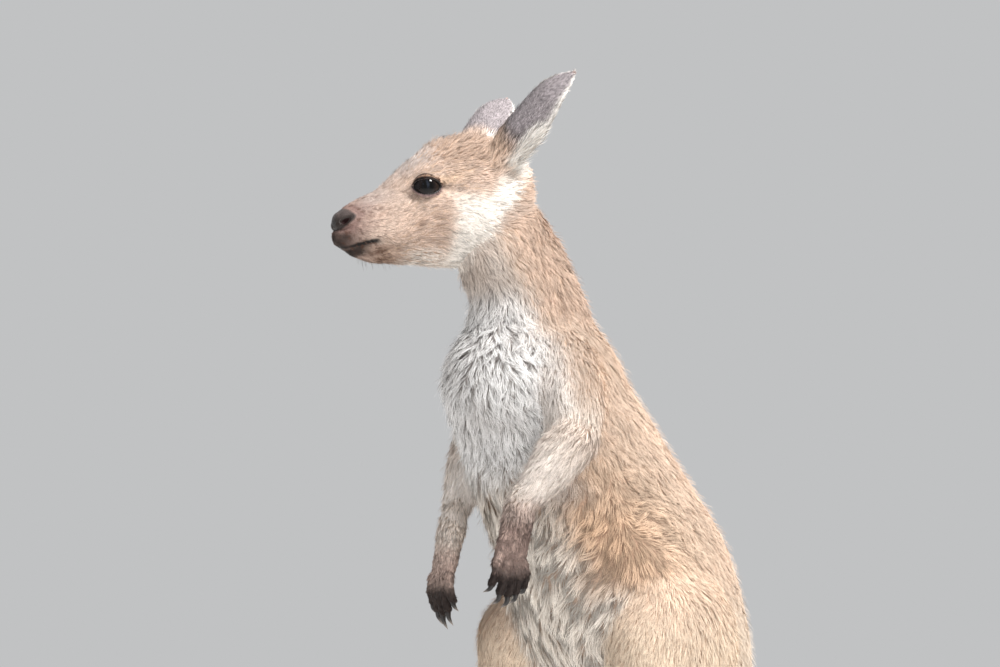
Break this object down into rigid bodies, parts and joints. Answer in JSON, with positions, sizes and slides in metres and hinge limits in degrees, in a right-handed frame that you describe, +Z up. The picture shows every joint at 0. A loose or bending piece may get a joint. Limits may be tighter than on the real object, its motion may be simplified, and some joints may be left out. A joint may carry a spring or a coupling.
{
  "type": "kangaroo figure",
  "caption": "Life-size still figure of a young grey kangaroo, sitting up on long hind feet and tail, forepaws hanging, head turned to its right, ears turned back.",
  "frame": {"origin": "the middle of the figure's outline on the floor", "axes": "+X the way the chest and the feet point, +Y the animal's left, +Z up"},
  "size_m": [0.798, 0.216, 0.6885],
  "materials": {
    "coat": "matte",
    "claws": "satin",
    "eyes": "gloss"
  },
  "bodies": {
    "root": {"trunk": "coat", "neck": "coat", "head": "coat", "tail_base": "coat", "tail_middle": "coat", "tail_tip": "coat", "ear_left": "coat", "upper_arm_left": "coat", "forearm_left": "coat", "hand_left": "coat", "thigh_left": "coat", "shank_left": "coat", "foot_left": "coat", "eye_left": "eyes", "hand_claw_left_1": "claws", "hand_claw_left_2": "claws", "hand_claw_left_3": "claws", "hand_claw_left_4": "claws", "hand_claw_left_5": "claws", "foot_claw_left_1": "claws", "foot_claw_left_2": "claws", "foot_claw_left_3": "claws", "foot_claw_left_4": "claws", "ear_right": "coat", "upper_arm_right": "coat", "forearm_right": "coat", "hand_right": "coat", "thigh_right": "coat", "shank_right": "coat", "foot_right": "coat", "eye_right": "eyes", "hand_claw_right_1": "claws", "hand_claw_right_2": "claws", "hand_claw_right_3": "claws", "hand_claw_right_4": "claws", "hand_claw_right_5": "claws", "foot_claw_right_1": "claws", "foot_claw_right_2": "claws", "foot_claw_right_3": "claws", "foot_claw_right_4": "claws"}
  },
  "joints": []
}
